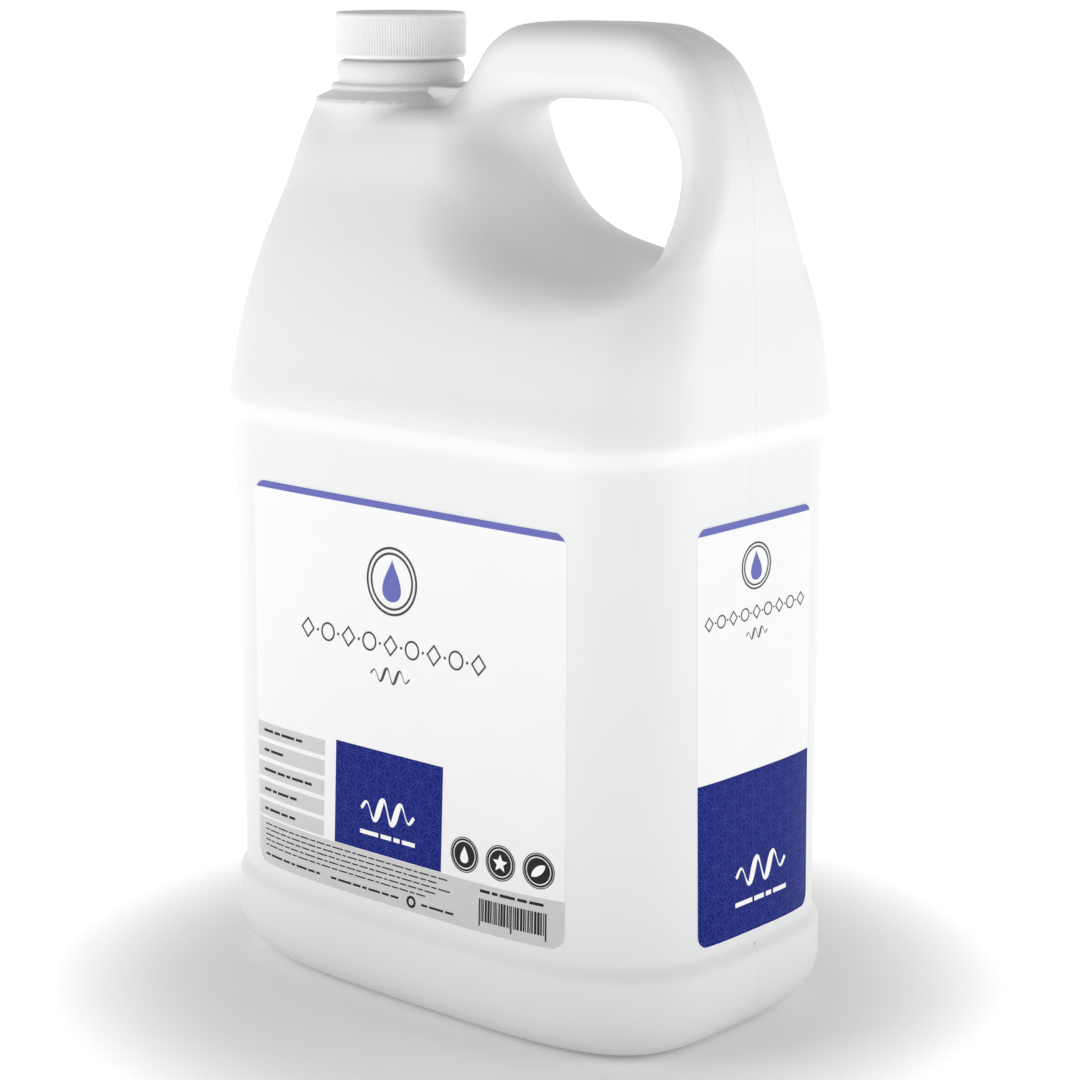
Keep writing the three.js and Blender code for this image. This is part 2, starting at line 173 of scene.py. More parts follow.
def closed_spline(points, steps=6):
    """Catmull-Rom curve through a ring of points."""
    p = np.array(points, float)
    before, after, later = np.roll(p, 1, 0), np.roll(p, -1, 0), np.roll(p, -2, 0)
    rows = []
    for t in np.arange(steps) / steps:
        rows.append(0.5 * (2 * p + (after - before) * t
                           + (2 * before - 5 * p + 4 * after - later) * t**2
                           + (3 * p - before - 3 * after + later) * t**3))
    return np.stack(rows, 1).reshape(-1, 2)


def ring_distance(x, z, ring):
    """Signed distance in the XZ plane to a closed polygon, negative inside."""
    x, z = np.broadcast_arrays(x, z)
    best = np.full(x.shape, 1e9)
    inside = np.zeros(x.shape, bool)
    for (x0, z0), (x1, z1) in zip(ring, np.roll(ring, -1, 0)):
        dx, dz = x1 - x0, z1 - z0
        t = np.clip(((x - x0) * dx + (z - z0) * dz) / (dx * dx + dz * dz), 0, 1)
        best = np.minimum(best, (x - x0 - t * dx) ** 2 + (z - z0 - t * dz) ** 2)
        if dz:
            inside ^= ((z0 > z) != (z1 > z)) & (x < x0 + (z - z0) * dx / dz)
    return np.where(inside, -1, 1) * np.sqrt(best)


GRIP_RING = closed_spline(GRIP_OUTLINE)
WINDOW_RING = closed_spline(WINDOW)


# ---- the jug's skin as a distance field --------------------------------------------------------------
def block(x, y, z):
    """The jug without grip, neck and finger hollows."""
    in_panel = ramp(z, 26.0, 31.5)
    in_shoulder = ramp(z - LEDGE_RISE * ramp(x, 55.0, 90.0), *LEDGE)
    share = np.clip((z - PANEL_FOOT["z"]) / (PANEL_TOP["z"] - PANEL_FOOT["z"]), 0, 1)

    def level(kind, column):
        wide = PANEL_FOOT[kind] + (PANEL_TOP[kind] - PANEL_FOOT[kind]) * share
        wide = BASE[kind] + (wide - BASE[kind]) * in_panel
        return wide + (smooth_table(z, SHOULDER[:, 0], SHOULDER[:, column]) - wide) * in_shoulder

    def corner_radius(column):
        shoulder = smooth_table(z, SHOULDER[:, 0], SHOULDER[:, column])
        return PANEL_CORNER + (shoulder - PANEL_CORNER) * in_shoulder

    left, right = level("half_width", 1), level("half_width", 2)
    left_depth, right_depth = level("half_depth", 3), level("half_depth", 4)
    left_corner, right_corner = corner_radius(5), corner_radius(6)
    along = np.clip((x + left - left_corner) / (left + right - left_corner - right_corner), 0, 1)
    depth = left_depth + (right_depth - left_depth) * along
    corner = left_corner + (right_corner - left_corner) * along
    half = (left + right) / 2
    flat = rounded(np.abs(x - (right - left) / 2) - half, np.abs(y) - depth, corner)
    side = flat + (oval_distance(x, y, half, depth) - flat) * (1 - share)
    floor = FLOOR_RISE * ramp(-side, 23.0, 28.0)
    return soft_max(rounded(side, floor - z, HEEL), z - SHOULDER_TOP, 6.0)


def oval_distance(x, y, half, depth):
    """Distance to a superellipse, near enough close to its edge."""
    u, v = np.abs(x) / half, np.abs(y) / depth
    reach = np.maximum((u**OVAL + v**OVAL) ** (1 / OVAL), 1e-6)
    slope = np.hypot((u / reach) ** (OVAL - 1) / half, (v / reach) ** (OVAL - 1) / depth)
    return (reach - 1) / np.maximum(slope, 0.5 / half)


def hollow(x, y, z):
    """The finger hollows on both sides, as ellipsoids."""
    (cx, cy, cz), (rx, ry, rz) = HOLLOW["centre"], HOLLOW["radii"]
    u, v, w = (x - cx) / rx, (np.abs(y) - cy) / ry, (z - cz) / rz
    reach = np.sqrt(u * u + v * v + w * w)
    slope = np.sqrt((u / rx) ** 2 + (v / ry) ** 2 + (w / rz) ** 2) / np.maximum(reach, 1e-6)
    return (reach - 1) / np.maximum(slope, 1 / ry)


def grip(x, y, z):
    """The bow of the grip, thicker where it meets the shoulder."""
    thick = smooth_table(z, GRIP_DEPTH[:, 0], GRIP_DEPTH[:, 1])
    half = 14.8 + (thick - 14.8) * ramp(x, 40, 62) - 1.4 * ramp(-x, 0, 20)
    return rounded(ring_distance(x, z, GRIP_RING), np.abs(y) - half, GRIP_EDGE)


def skin(x, y, z):
    """Signed distance to the jug's outer skin, negative inside."""
    jug = soft_max(block(x, y, z), -hollow(x, y, z), HOLLOW["blend"])
    jug = soft_max(jug, -ring_distance(x, z, WINDOW_RING), WINDOW_BLEND)
    blend = 3.0 + 9.0 * ramp(-x, -45, 0) - 4.0 * ramp(-x, 2, 14) - 1.6 * ramp(x, 70, 84)
    jug = soft_min(jug, grip(x, y, z), blend)
    web = rounded(np.abs(x - WEB["x"]) - WEB["half_width"], np.abs(y) - WEB["half_depth"], 2.0)
    web = np.maximum(web, np.maximum(z - WEB["top"], WEB["bottom"] - z))
    jug = soft_min(jug, web, 2.0)
    collar = rounded(np.hypot(x - NECK_X, y) - COLLAR["radius"], z - COLLAR["top"], 0.6)
    collar = np.maximum(collar, COLLAR["bottom"] - z)
    return soft_min(jug, collar, 3.0)


def gradient(field, points, h=0.8):
    """Unit normals of a field at points, and its slope there."""
    x, y, z = points.T
    rows = [field(x + h, y, z) - field(x - h, y, z), field(x, y + h, z) - field(x, y - h, z),
            field(x, y, z + h) - field(x, y, z - h)]
    rows = np.stack(rows, -1) / (2 * h)
    size = np.maximum(np.linalg.norm(rows, axis=-1), 1e-6)
    return rows / size[:, None], size


# ---- meshes ------------------------------------------------------------------------------------------
def spaced(stops):
    """Grid planes through stops (position, spacing up to the next stop)."""
    rows = []
    for (start, step), (end, _) in zip(stops, stops[1:]):
        count = max(1, round((end - start) / step))
        rows.extend(start + (end - start) * np.arange(count) / count)
    return np.array(rows + [stops[-1][0]])


def surface_net(values, axes):
    """Quads round the zero level of values on a rectilinear grid: (points, quads)."""
    grid = np.stack(np.meshgrid(*axes, indexing="ij"), -1)
    cells = tuple(n - 1 for n in values.shape)
    total = np.zeros(cells + (3,))
    count = np.zeros(cells, int)
    crossings = []
    for axis in range(3):
        low = [slice(None)] * 3
        high = [slice(None)] * 3
        low[axis], high[axis] = slice(None, -1), slice(1, None)
        a, b = values[tuple(low)], values[tuple(high)]
        edges = np.argwhere((a < 0) != (b < 0))
        va, vb = a[tuple(edges.T)], b[tuple(edges.T)]
        t = (va / (va - vb))[:, None]
        cross = grid[tuple(low)][tuple(edges.T)] * (1 - t) + grid[tuple(high)][tuple(edges.T)] * t
        first, second = [i for i in range(3) if i != axis]
        corners = []
        for da, db in ((0, 0), (1, 0), (1, 1), (0, 1)):
            cell = edges.copy()
            cell[:, first] -= da
            cell[:, second] -= db
            np.add.at(total, tuple(cell.T), cross)
            np.add.at(count, tuple(cell.T), 1)
            corners.append(cell)
        turned = (va < 0) == (axis == 1)
        crossings.append((corners, turned))
    used = count > 0
    number = np.cumsum(used).reshape(cells) - 1
    points = total[used] / count[used][:, None]
    quads = []
    for corners, turned in crossings:
        quad = np.stack([number[tuple(cell.T)] for cell in corners], -1)
        quad[turned] = quad[turned][:, ::-1]
        quads.append(quad)
    return points, np.concatenate(quads)


def settle(field, points, quads, rounds):
    """Evens the net out and puts it back onto the field's zero level."""
    edges = np.concatenate([quads[:, [i, (i + 1) % 4]] for i in range(4)])
    degree = np.bincount(edges[:, 0], minlength=len(points))[:, None]
    for _ in range(rounds):
        near = points[edges[:, 1]]
        mean = np.stack([np.bincount(edges[:, 0], near[:, i], len(points)) for i in range(3)], -1)
        points = 0.4 * points + 0.6 * mean / degree
        for _ in range(2):
            normal, slope = gradient(field, points)
            points = points - normal * (field(*points.T) / slope)[:, None]
    return points


def skin_net(field, stops, rounds=2):
    """Points and quads of a field's surface, with the grid planes of stops along x, y and z."""
    axes = [spaced(row) for row in stops]
    grid = np.meshgrid(*axes, indexing="ij", sparse=True)
    points, quads = surface_net(field(*grid), axes)
    return settle(field, points, quads, rounds), quads


def signed_volume(points, faces):
    """Six times the volume inside the faces, or a share of it where a sample of them will do."""
    total = 0.0
    step = len(faces) // 4000 if len(faces) > 60000 else 1
    for face in faces[::step]:
        a = points[face[0]]
        for j, k in zip(face[1:-1], face[2:]):
            total += np.dot(a, np.cross(points[j], points[k]))
    return total


def add(name, points, faces, paint, body="jug", crease=None):
    """A mesh piece from points in millimetres, turned outside out, riding on a CAD body."""
    points = np.asarray(points, float)
    if signed_volume(points, faces) < 0:
        faces = [tuple(face)[::-1] for face in faces]
    mesh = bpy.data.meshes.new(name)
    mesh.from_pydata((points * 0.001).tolist(), [], [tuple(map(int, face)) for face in faces])
    mesh.polygons.foreach_set("use_smooth", [True] * len(mesh.polygons))
    if crease:
        mesh.set_sharp_from_angle(angle=math.radians(crease))
    mesh.materials.append(paint)
    obj = bpy.data.objects.new(name, mesh)
    bpy.context.scene.collection.objects.link(obj)
    if body:
        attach(obj, body)
    return obj


def tube(rings, closed=False):
    """Points and faces of a skin through rings of equal count, with flat ends unless closed."""
    rings = np.asarray(rings, float)
    count, size = rings.shape[:2]
    faces = []
    for i in range(count if closed else count - 1):
        a, b = i * size, (i + 1) % count * size
        for j in range(size):
            k = (j + 1) % size
            faces.append((a + j, a + k, b + k, b + j))
    if not closed:
        faces.append(tuple(range(size))[::-1])
        faces.append(tuple(range((count - 1) * size, count * size)))
    return rings.reshape(-1, 3), faces


def turned(profile, segments, ripple=None):
    """Rings round the neck's axis through a profile of (radius, z)."""
    angle = np.arange(segments) * 2 * math.pi / segments
    rings = []
    for row, (radius, z) in enumerate(profile):
        reach = radius - (ripple(row, angle) if ripple else 0 * angle)
        ring = [NECK_X + reach * np.cos(angle), reach * np.sin(angle), 0 * angle + z]
        rings.append(np.stack(ring, -1))
    return rings


def thread(root, crest, start, sink):
    """Points and faces of a helical ridge round the neck's axis."""
    steps = round(THREAD["turns"] * 96)
    rings = []
    foot, tip = THREAD["foot"], THREAD["crest"]
    for step in range(steps + 1):
        angle = step / steps * THREAD["turns"] * 2 * math.pi
        z = start + angle / (2 * math.pi) * THREAD["pitch"]
        fade = math.sin(min(1.0, min(step, steps - step) / 14) * math.pi / 2)
        top = root + (crest - root) * max(fade, 0.02)
        profile = [(root - sink, -foot), (root, -foot + 0.15), (top, -tip), (top, tip),
                   (root, foot - 0.15), (root - sink, foot)]
        rings.append([(NECK_X + r * math.cos(angle), r * math.sin(angle), z + h) for r, h in profile])
    return tube(rings)


# ---- materials ---------------------------------------------------------------------------------------
def node(tree, kind, inputs=(), **settings):
    """A shader node with its settings and input values or links."""
    made = tree.nodes.new(kind)
    for key, value in settings.items():
        setattr(made, key, value)
    for key, value in dict(inputs).items():
        if isinstance(value, bpy.types.NodeSocket):
            tree.links.new(value, made.inputs[key])
        else:
            made.inputs[key].default_value = value
    return made


def math_node(tree, operation, a, b=0.0, c=0.0):
    """Output of a maths node."""
    return node(tree, "ShaderNodeMath", {0: a, 1: b, 2: c}, operation=operation).outputs[0]


def smooth_range(tree, value, low, high, start=0.0, end=1.0):
    """Output that goes smoothly from start to end as value goes from low to high."""
    limits = {"Value": value, "From Min": low, "From Max": high, "To Min": start, "To Max": end}
    return node(tree, "ShaderNodeMapRange", limits, interpolation_type="SMOOTHSTEP").outputs[0]


def noise(tree, place, scale, detail=3.0):
    """Output of a noise, from 0 to 1."""
    made = node(tree, "ShaderNodeTexNoise", {"Vector": place, "Scale": scale, "Detail": detail})
    return made.outputs["Fac"]


def mixed(tree, share, low, high):
    """Colour between low and high."""
    made = node(tree, "ShaderNodeMix", data_type="RGBA")
    for key, value in ((0, share), (6, low), (7, high)):
        if isinstance(value, bpy.types.NodeSocket):
            tree.links.new(value, made.inputs[key])
        else:
            made.inputs[key].default_value = value if key == 0 else (*value, 1.0)
    return made.outputs[2]


def finish(name, dark, light, rough, scale, bump, fine=900.0, pattern=None, **constants):
    """Material with colour, roughness and bump from noises, and constants on the shader's own sockets."""
    paint = bpy.data.materials.new(name)
    paint.use_nodes = True
    tree = paint.node_tree
    tree.nodes.clear()
    place = node(tree, "ShaderNodeTexCoord").outputs["Object"]
    cloud = noise(tree, place, scale)
    grain = noise(tree, place, fine, 2.0)
    colour = mixed(tree, cloud, dark, light)
    if pattern:
        colour = pattern(tree, place, colour)
    roughness = node(tree, "ShaderNodeMapRange",
                     {"Value": cloud, "To Min": rough[0], "To Max": rough[1]})
    height = math_node(tree, "ADD", math_node(tree, "MULTIPLY", grain, 0.3), cloud)
    bumped = node(tree, "ShaderNodeBump", {"Height": height, "Distance": bump, "Strength": 1.0})
    shader = node(tree, "ShaderNodeBsdfPrincipled", {
        "Base Color": colour, "Roughness": roughness.outputs[0], "Normal": bumped.outputs[0], **constants})
    out = node(tree, "ShaderNodeOutputMaterial")
    tree.links.new(shader.outputs[0], out.inputs["Surface"])
    return paint


def lattice(across):
    """Pattern of overlapping circles in square tiles, a little lighter than the ground."""
    def pattern(tree, place, ground):
        axes = node(tree, "ShaderNodeSeparateXYZ", {0: place}).outputs

        def tiled(value, shift):
            tiles = math_node(tree, "DIVIDE", value, LATTICE_TILE)
            part = math_node(tree, "FRACT", math_node(tree, "ADD", tiles, shift))
            return math_node(tree, "SUBTRACT", part, 0.5)

        def line(distance, at, width):
            off = math_node(tree, "ABSOLUTE", math_node(tree, "SUBTRACT", distance, at))
            return math_node(tree, "LESS_THAN", off, width)

        def reach(shift):
            u, v = tiled(axes[across], shift), tiled(axes[2], shift)
            squares = math_node(tree, "MULTIPLY_ADD", v, v, math_node(tree, "MULTIPLY", u, u))
            return math_node(tree, "SQRT", squares)

        centre, corner = reach(0.0), reach(0.5)
        edge = math_node(tree, "MAXIMUM", math_node(tree, "ABSOLUTE", tiled(axes[across], 0.0)),
                         math_node(tree, "ABSOLUTE", tiled(axes[2], 0.0)))
        lines = line(centre, 0.38, 0.018)
        for distance, at in ((centre, 0.14), (corner, 0.5), (edge, 0.46)):
            lines = math_node(tree, "MAXIMUM", lines, line(distance, at, 0.016))
        return mixed(tree, math_node(tree, "MULTIPLY", lines, 0.8), ground, (0.024, 0.046, 0.26))

    return pattern


JUG_PAINT = finish("jug_white", (0.755, 0.76, 0.765), (0.795, 0.797, 0.80), (0.40, 0.50), 14.0, 0.00012,
                   **{"Specular IOR Level": 0.2})
CAP_PAINT = finish("cap_white", (0.80, 0.80, 0.805), (0.845, 0.845, 0.845), (0.5, 0.6), 40.0, 0.00006,
                   **{"Specular IOR Level": 0.02})
FOAM_PAINT = finish("liner_foam_white", (0.78, 0.78, 0.76), (0.85, 0.85, 0.84), (0.7, 0.85), 260.0, 0.0001)
FILL_PAINT = finish("shampoo_pearl", (0.72, 0.66, 0.70), (0.82, 0.77, 0.80), (0.15, 0.3), 18.0, 0.00005)
LABEL_PAINT = finish("label_white", (0.82, 0.82, 0.825), (0.85, 0.85, 0.85), (0.4, 0.5), 60.0, 0.00003,
                     **{"Specular IOR Level": 0.2})
BAND_INK = finish("ink_periwinkle", (0.120, 0.130, 0.42), (0.140, 0.150, 0.45), (0.4, 0.5), 120.0, 0.00002,
                  **{"Specular IOR Level": 0.15})
SLATE_INK = finish("ink_slate", (0.045, 0.048, 0.052), (0.065, 0.068, 0.072), (0.45, 0.6), 200.0, 0.00002,
                   **{"Specular IOR Level": 0.15})
GREY_INK = finish("ink_pale_grey", (0.54, 0.54, 0.545), (0.58, 0.58, 0.585), (0.35, 0.45), 120.0, 0.00002)
DARK_INK = finish("ink_black", (0.010, 0.010, 0.011), (0.022, 0.022, 0.024), (0.45, 0.6), 200.0, 0.00002,
                  **{"Specular IOR Level": 0.12})
WHITE_INK = finish("ink_white", (0.86, 0.86, 0.87), (0.91, 0.91, 0.91), (0.3, 0.45), 200.0, 0.00002)
FRONT_BLUE = finish("ink_blue_front", (0.003, 0.008, 0.155), (0.006, 0.012, 0.190), (0.4, 0.5), 90.0, 0.00002,
                    pattern=lattice(0), **{"Specular IOR Level": 0.08})
SIDE_BLUE = finish("ink_blue_side", (0.003, 0.008, 0.155), (0.006, 0.012, 0.190), (0.4, 0.5), 90.0, 0.00002,
                   pattern=lattice(1), **{"Specular IOR Level": 0.08})


# ---- jug ---------------------------------------------------------------------------------------------
def evaluated(obj):
    """The mesh of an object after its modifiers."""
    graph = bpy.context.evaluated_depsgraph_get()
    return bpy.data.meshes.new_from_object(obj.evaluated_get(graph))


def aim_normals(mesh):
    """Sets corner normals from the skin's field, except on the cut round the neck."""
    points = np.empty(len(mesh.vertices) * 3)
    mesh.vertices.foreach_get("co", points)
    normal, _ = gradient(skin, points.reshape(-1, 3) * 1000)
    corner = np.empty(len(mesh.loops), int)
    mesh.loops.foreach_get("vertex_index", corner)
    flat = np.empty(len(mesh.polygons) * 3)
    mesh.polygons.foreach_get("normal", flat)
    sides = np.empty(len(mesh.polygons), int)
    mesh.polygons.foreach_get("loop_total", sides)
    flat = np.repeat(flat.reshape(-1, 3), sides, 0)
    wanted = normal[corner]
    facing = np.sum(wanted * flat, -1)
    wanted = np.where(facing[:, None] < 0, -wanted, wanted)
    wanted[np.abs(facing) < 0.6] = flat[np.abs(facing) < 0.6]
    mesh.normals_split_custom_set(wanted.tolist())


def make_jug():
    """The blow-moulded skin with its wall and the hole under the neck."""
    points, quads = skin_net(skin, SKIN_GRID)
    seam = seam_chains(points, quads)
    jug = add("jug_skin", points, quads, JUG_PAINT, body=None)

    def inside(x, y, z):
        return skin(x, y, z) + WALL

    points, quads = skin_net(inside, CAVITY_GRID, rounds=1)
    cavity = add("cavity", points, quads, JUG_PAINT, body=None)
    ends = [(PLUG["radius"], PLUG["bottom"]), (PLUG["radius"], PLUG["top"])]
    plug = add("plug", *tube(turned(ends, 128)), JUG_PAINT, body=None)
    for cutter in (cavity, plug):
        cut = jug.modifiers.new(cutter.name, "BOOLEAN")
        cut.operation = "DIFFERENCE"
        cut.solver = "MANIFOLD"
        cut.object = cutter
    mesh = evaluated(jug)
    jug.modifiers.clear()
    jug.data = mesh
    for cutter in (cavity, plug):
        bpy.data.objects.remove(cutter)
    mesh.polygons.foreach_set("use_smooth", [True] * len(mesh.polygons))
    aim_normals(mesh)
    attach(jug, "jug")
    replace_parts(jug, "jug_body")
    return seam


def seam_chains(points, quads):
    """Loops of net points in the plane where the two mould halves met."""
    middle = np.abs(points[:, 1]) < 1e-3
    edges = np.concatenate([quads[:, [i, (i + 1) % 4]] for i in range(4)])
    edges = edges[middle[edges].all(-1)]
    beside = {}
    for a, b in edges.tolist():
        beside.setdefault(a, set()).add(b)
        beside.setdefault(b, set()).add(a)
    left = {a for a, near in beside.items() if len(near) == 2}
    chains = []
    while left:
        here = min(left)
        chain = []
        while here is not None:
            left.discard(here)
            chain.append(here)
            here = next((b for b in sorted(beside[here]) if b in left), None)
        if len(chain) > 40:
            chains.append(points[chain])
    return chains


def unbroken(chains):
    """The chains without the parts at the neck and under the side label."""
    rows = []
    for chain in chains:
        hidden = (np.abs(chain[:, 0] - NECK_X) < 27.5) & (chain[:, 2] > 262)
        under = (chain[:, 2] > SIDE["bottom"] - 2) & (chain[:, 2] < SIDE["top"] + 2)
        hidden |= (chain[:, 0] > 80) & under
        if not hidden.any():
            rows.append(chain)
            continue
        start = int(np.argmax(~hidden & np.roll(hidden, 1)))
        chain, hidden = np.roll(chain, -start, 0), np.roll(hidden, -start)
        for piece in np.split(np.arange(len(chain)), np.flatnonzero(np.diff(hidden)) + 1):
            if not hidden[piece[0]] and len(piece) > 4:
                rows.append(chain[piece])
    return rows


def make_seam(chains):
    """The fine ridge left by the mould, round the outside and round the window."""
    for index, chain in enumerate(unbroken(chains)):
        closed = np.linalg.norm(chain[0] - chain[-1]) < 5
        normal, _ = gradient(skin, chain)
        rings = []
        for across, height in SEAM_PROFILE:
            rings.append(chain + normal * height + np.array([0.0, across, 0.0]))
        rings = np.stack(rings, 1)
        seam = add(f"parting_line_{index}", *tube(rings, closed=closed), JUG_PAINT)


def make_neck():
    """Cone, roll, bead and threaded finish, moulded with the jug."""
    neck = add("neck_finish", *tube(turned(NECK_PROFILE, 128), closed=True), JUG_PAINT, crease=50)
    ridge = add("neck_thread", *thread(17.4, 18.5, THREAD["start"], 0.4), JUG_PAINT, crease=50)


def make_fill():
    """The shampoo, up to its level inside the shoulder."""
    def inside(x, y, z):
        return np.maximum(skin(x, y, z) + WALL + FILL_GAP, z - FILL_LEVEL)

    points, quads = skin_net(inside, FILL_GRID, rounds=0)
    fill = add("shampoo", points, quads, FILL_PAINT, crease=40)
    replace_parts(fill, "shampoo_fill")


# ---- cap ---------------------------------------------------------------------------------------------
def cap_profile():
    """Radius and z of the cap, from the middle of its top to its ceiling, and the rows that are ribbed."""
    radius, top, bottom, bore = CAP["radius"], CAP["top"], CAP["bottom"], CAP["bore"]
    smooth = radius - 0.2
    outside = [
        (0.25, top - 0.45), (0.9, top - 0.45), (1.0, top - 0.08), (1.3, top - 0.06), (1.5, top - 0.18),
        (18.3, top - 0.18), (18.6, top - 0.14), (18.8, top), (19.2, top), (19.6, top - 0.12),
        (19.95, top - 0.4), (smooth - 0.05, top - 0.9), (smooth, top - 1.5), (smooth, top - 2.0),
    ]
    ribbed = [(radius, top - 2.0), (radius, top - 2.3), (radius, bottom + 1.4), (radius, bottom + 1.0)]
    inside = [
        (smooth, bottom + 1.0), (smooth + 0.05, bottom + 0.4), (smooth - 0.2, bottom + 0.05),
        (smooth - 0.4, bottom), (19.2, bottom), (18.95, bottom + 0.15), (bore, bottom + 0.5),
        (bore, CAP["ceiling"] - 0.2), (bore - 0.2, CAP["ceiling"]), (0.25, CAP["ceiling"]),
    ]
    return outside + ribbed + inside, len(outside), len(outside) + len(ribbed) - 1


def make_cap():
    """Ribbed cap with a smooth band, and its inner thread."""
    profile, first, last = cap_profile()

    def ripple(row, angle):
        if not first <= row <= last:
            return 0 * angle
        wave = 0.5 - 0.5 * np.cos(angle * CAP["ribs"])
        depth = 0.15 if row in (first, last) else CAP["rib_depth"]
        return depth * wave**1.5

    rings = turned(profile, CAP["ribs"] * 6, ripple)
    cap = add("cap_shell", *tube(rings), CAP_PAINT, "cap", crease=42)
    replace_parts(cap, "screw_cap")
    start = THREAD["start"] - THREAD["pitch"] / 2 + THREAD["play"]
    helix = thread(CAP["bore"], CAP["crest"], start, -0.4)
    ridge = add("cap_thread", *helix, CAP_PAINT, "cap", crease=50)


def make_liner():
    """The foam disc in the cap, pressed in a little inside the lip."""
    edge, low, high = LINER["radius"], LINER["bottom"], LINER["top"]
    profile = [(0.25, high), (edge - 0.25, high), (edge, high - 0.25), (edge, low + 0.25),
               (edge - 0.25, low), (15.4, low), (15.2, low + 0.08), (0.25, low + 0.08)]
    liner = add("liner_disc", *tube(turned(profile, 128)), FOAM_PAINT, "liner", crease=40)
    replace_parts(liner, "cap_liner")


# ---- labels ------------------------------------------------------------------------------------------
def on_skin(label, flat, lift):
    """Points lifted off the skin over flat (along, z) positions of the front or side label."""
    along, z = flat[..., 0].ravel(), flat[..., 1].ravel()
    gap = np.zeros_like(along)
    if label == "front":
        place = np.stack([along, gap - 75.0, z], -1)
        step = np.array([0.0, 1.0, 0.0])
    else:
        place = np.stack([gap + 110.0, along, z], -1)
        step = np.array([-1.0, 0.0, 0.0])
    for _ in range(40):
        place = place + step * (0.9 * block(*place.T))[:, None]
    normal, _ = gradient(block, place)
    return (place + normal * lift).reshape(*flat.shape[:2], 3)


class Print:
    """Flat shapes of one ink, gathered into one thin solid mesh."""

    def __init__(self, label, layer):
        self.label, self.layer = label, layer
        self.points, self.faces, self.count = [], [], 0

    def grid(self, flat, wrap=False, low=None, high=None):
        """A patch over rows and columns of flat positions. wrap joins its last row to the first."""
        flat = np.asarray(flat, float)
        rows, columns = flat.shape[:2]
        top = SHEET[1] + INK * self.layer if high is None else high
        under = SHEET[1] + INK * (self.layer - 1) - 0.03 if low is None else low
        for lift in (top, under):
            self.points.append(on_skin(self.label, flat, lift).reshape(-1, 3))
        base, size = self.count, rows * columns
        self.count += 2 * size

        def at(i, j, layer):
            return base + layer * size + i % rows * columns + j

        for i in range(rows if wrap else rows - 1):
            for j in range(columns - 1):
                self.faces.append((at(i, j, 0), at(i + 1, j, 0), at(i + 1, j + 1, 0), at(i, j + 1, 0)))
                self.faces.append((at(i, j, 1), at(i, j + 1, 1), at(i + 1, j + 1, 1), at(i + 1, j, 1)))
            for j, flip in ((0, 1), (columns - 1, 0)):
                wall = (at(i, j, 0), at(i, j, 1), at(i + 1, j, 1), at(i + 1, j, 0))
                self.faces.append(wall if flip else wall[::-1])
        if not wrap:
            for i, flip in ((0, 0), (rows - 1, 1)):
                for j in range(columns - 1):
                    wall = (at(i, j, 0), at(i, j, 1), at(i, j + 1, 1), at(i, j + 1, 0))
                    self.faces.append(wall if flip else wall[::-1])

    def box(self, left, right, bottom, top, cell=3.0):
        """A rectangle."""
        across = np.linspace(left, right, max(2, math.ceil((right - left) / cell) + 1))
        up = np.linspace(bottom, top, max(2, math.ceil((top - bottom) / cell) + 1))
        self.grid(np.stack(np.meshgrid(across, up, indexing="ij"), -1))

    def shape(self, outline, hole=0.02):
        """A closed outline filled from its middle, or a rim round a hole of that share of its size."""
        outline = np.asarray(outline, float)
        middle = (outline.min(0) + outline.max(0)) / 2
        rims = [middle + (outline - middle) * share for share in (hole, (1 + hole) / 2, 1)]
        self.grid(np.stack(rims, 1), wrap=True)

    def stroke(self, line, width):
        """A line with a width at each point."""
        line = np.asarray(line, float)
        width = np.broadcast_to(width, len(line))[:, None]
        along = np.gradient(line, axis=0)
        along /= np.linalg.norm(along, axis=1, keepdims=True)
        off = np.stack([-along[:, 1], along[:, 0]], -1) * width / 2
        self.grid(np.stack([line - off, line, line + off], 1))

    def rule(self, left, right, z, width=0.5):
        """A level line."""
        self.box(left, right, z - width / 2, z + width / 2, cell=4.0)

    def make(self, name, paint):
        """Adds the mesh, riding on the jug."""
        piece = add(name, np.concatenate(self.points), self.faces, paint, crease=60)
        return piece


def rounded_rows(size, low, high, inset=0.0, cell=3.0):
    """Rows of flat positions between two heights of a label, following its rounded corners."""
    corner = size["corner"]
    arc = corner * (1 - np.cos(np.linspace(0, math.pi / 2, 7)))
    heights = np.concatenate([size["bottom"] + arc, size["top"] - arc,
                              np.arange(size["bottom"] + corner, size["top"] - corner, cell), [low, high]])
    heights = np.unique(np.round(np.clip(heights, low, high), 4))
    near = np.minimum(heights - size["bottom"], size["top"] - heights)
    near = np.clip(corner - near, 0, corner)
    pulled = corner - np.sqrt(np.maximum(corner**2 - near**2, 0)) + inset
    share = np.linspace(0, 1, max(2, math.ceil((size["right"] - size["left"]) / cell)))
    left, right = size["left"] + pulled, size["right"] - pulled
    across = left[:, None] + (right - left)[:, None] * share
    return np.stack([across, np.broadcast_to(heights[:, None], across.shape)], -1)


def circle(x, z, radius, count=48):
    """Outline of a circle."""
    angle = np.arange(count) * 2 * math.pi / count
    return np.stack([x + radius * np.cos(angle), z + radius * np.sin(angle)], -1)


def drop(x, z, size, count=40):
    """Outline of a drop, point up."""
    angle = np.arange(count) * 2 * math.pi / count
    wide = np.sin(angle) * np.sin(angle / 2) ** 1.6
    return np.stack([x + 0.86 * size * wide, z + size * np.cos(angle)], -1)


def leaf(x, z, size, turn, count=32):
    """Outline of a leaf, pointed at both ends."""
    angle = np.arange(count) * 2 * math.pi / count
    along, wide = np.cos(angle), 0.42 * np.sin(angle) * np.abs(np.sin(angle)) ** 0.5
    c, s = math.cos(turn), math.sin(turn)
    return np.stack([x + size * (along * c - wide * s), z + size * (along * s + wide * c)], -1)


